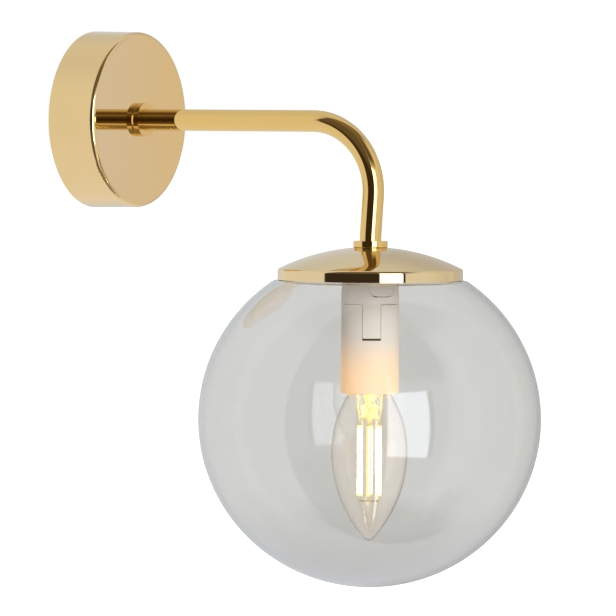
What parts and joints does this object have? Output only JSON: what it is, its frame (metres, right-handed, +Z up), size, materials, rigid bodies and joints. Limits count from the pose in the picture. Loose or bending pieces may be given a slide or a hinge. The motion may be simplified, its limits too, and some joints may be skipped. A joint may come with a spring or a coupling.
{
  "type": "wall sconce",
  "caption": "Wall light with a round cup canopy, a bent tube arm and a clear glass globe hung from a dome cap around a candle lamp.",
  "frame": {"origin": "on the wall plane, at the centre of the wall bracket and on the axis of the round canopy", "axes": "+Y into the wall, the arm points along -Y, +Z up"},
  "size_m": [0.157, 0.2274, 0.2546],
  "materials": {
    "polished_brass": "polished, mirror-like, lacquered",
    "zinc_steel": "zinc plated",
    "spring_steel": "bright rolled",
    "tinned_tag": "tinned",
    "contact_brass": "bright stamped",
    "block_plastic": "moulded",
    "brown_wire": "smooth insulation",
    "blue_wire": "smooth insulation",
    "earth_wire_green": "smooth insulation, green with a yellow stripe",
    "clear_glass": "clear, blown, glossy",
    "white_holder": "fine satin moulded",
    "insert_plastic": "moulded",
    "lamp_clear_glass": "clear, glossy",
    "lamp_nickel": "nickel plated",
    "black_glass": "glossy black",
    "solder": "dull solder",
    "filament_phosphor": "glowing warm white",
    "circuit_board": "lacquered board"
  },
  "bodies": {
    "bracket": {"wall_bracket": "zinc_steel", "bracket_earth_screw": "zinc_steel"},
    "fixture": {"canopy": "polished_brass", "weld_nuts": "zinc_steel", "grub_screws": "zinc_steel", "arm_tube": "polished_brass", "canopy_collar": "polished_brass", "cap_collar": "polished_brass", "earth_tag": "tinned_tag", "canopy_washer": "zinc_steel", "canopy_nut": "zinc_steel", "cap_washer": "zinc_steel", "cap_nut": "zinc_steel", "terminal_block": "block_plastic", "terminal_sleeves": "contact_brass", "terminal_screws": "zinc_steel", "live_wire": "brown_wire", "neutral_wire": "blue_wire", "earth_wire": "earth_wire_green", "dome_cap": "polished_brass", "globe_spring": "spring_steel", "holder_cap": "white_holder", "entry_bush": "zinc_steel", "holder_shell": "white_holder", "holder_insert": "insert_plastic", "centre_contact": "contact_brass", "side_contact": "contact_brass", "clamp_screws": "zinc_steel"},
    "globe": {"glass_globe": "clear_glass"},
    "lamp_carrier": {"lamp_tip_contact": "solder"},
    "lamp": {"lamp_insulator": "black_glass", "lamp_screw_cap": "lamp_nickel", "lamp_glass": "lamp_clear_glass", "lamp_stem": "lamp_clear_glass", "lamp_filaments": "filament_phosphor", "lamp_leads": "lamp_nickel", "lamp_driver": "circuit_board"}
  },
  "joints": [
    {"name": "fixture_pull_off", "type": "slide", "parent": "bracket", "child": "fixture", "axis": [0, -1, 0], "range_m": [0, 0.03]},
    {"name": "globe_pull_down", "type": "slide", "parent": "fixture", "child": "globe", "axis": [0, 0, -1], "range_m": [0, 0.13]},
    {"name": "lamp_travel", "type": "slide", "parent": "fixture", "child": "lamp_carrier", "axis": [0, 0, -1], "range_m": [0, 0.01411]},
    {"name": "lamp_unscrew", "type": "hinge", "parent": "lamp_carrier", "child": "lamp", "pos_m": [0, -0.1489, -0.15], "axis": [0, 0, -1], "range_deg": [0, 1800]}
  ],
  "couplings": [
    {"joint": "lamp_travel", "follows": "lamp_unscrew", "m_per_rad": 0.00044882}
  ]
}
